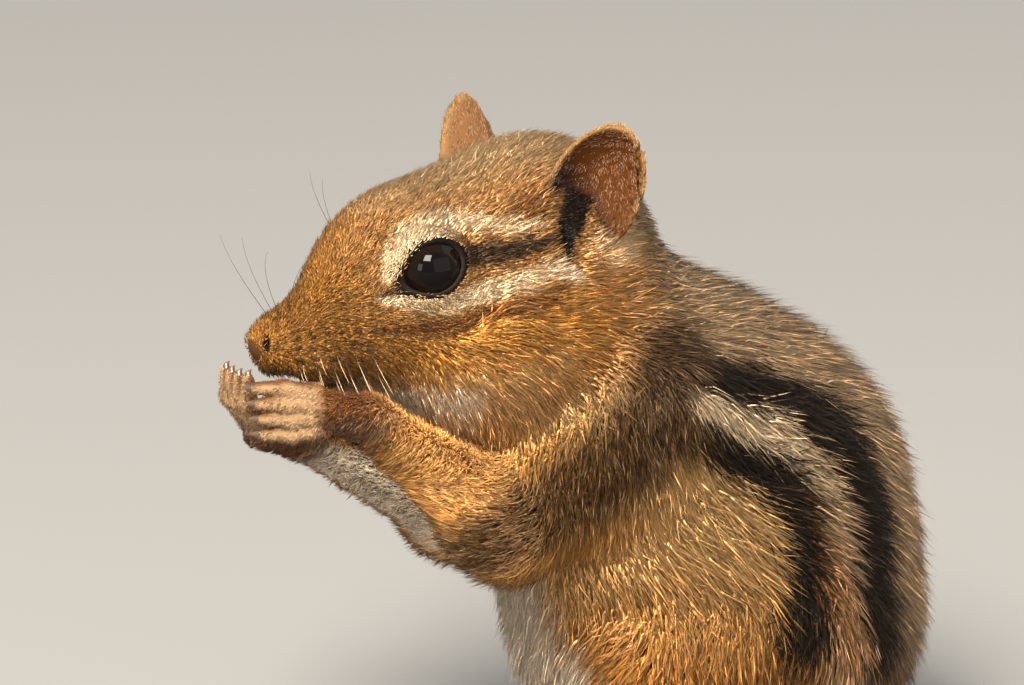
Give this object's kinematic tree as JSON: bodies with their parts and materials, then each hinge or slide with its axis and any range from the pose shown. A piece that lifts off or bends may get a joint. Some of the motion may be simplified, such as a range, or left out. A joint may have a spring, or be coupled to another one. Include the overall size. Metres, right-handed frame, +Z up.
{
  "type": "chipmunk",
  "caption": "Striped chipmunk sitting up on its haunches with both hands at its mouth and its tail laid along the floor, as a life-size museum model.",
  "frame": {"origin": "on the floor, under the middle of the box round the whole animal", "axes": "+Z up; the body faces -X, with its left side and the end of its tail towards -Y"},
  "size_m": [0.129, 0.102, 0.0764],
  "materials": {
    "coat": "short striped fur, soft and matt",
    "bare_skin": "thin skin with very short hair",
    "eye": "wet and glossy",
    "claw": "smooth horn, slightly shiny"
  },
  "bodies": {
    "root": {"head": "coat", "neck": "coat", "trunk": "coat", "upper_arm_left": "coat", "forearm_left": "coat", "upper_arm_right": "coat", "forearm_right": "coat", "thigh_left": "coat", "thigh_right": "coat", "tail_base": "coat", "tail_middle": "coat", "tail_tip": "coat", "ear_left": "bare_skin", "ear_right": "bare_skin", "hand_left": "bare_skin", "hand_right": "bare_skin", "foot_left": "bare_skin", "foot_right": "bare_skin", "eye_left": "eye", "eye_right": "eye", "finger_claw_left_1": "claw", "finger_claw_left_2": "claw", "finger_claw_left_3": "claw", "finger_claw_left_4": "claw", "finger_claw_right_1": "claw", "finger_claw_right_2": "claw", "finger_claw_right_3": "claw", "finger_claw_right_4": "claw", "toe_claw_left_1": "claw", "toe_claw_left_2": "claw", "toe_claw_left_3": "claw", "toe_claw_left_4": "claw", "toe_claw_left_5": "claw", "toe_claw_right_1": "claw", "toe_claw_right_2": "claw", "toe_claw_right_3": "claw", "toe_claw_right_4": "claw", "toe_claw_right_5": "claw"}
  },
  "joints": []
}
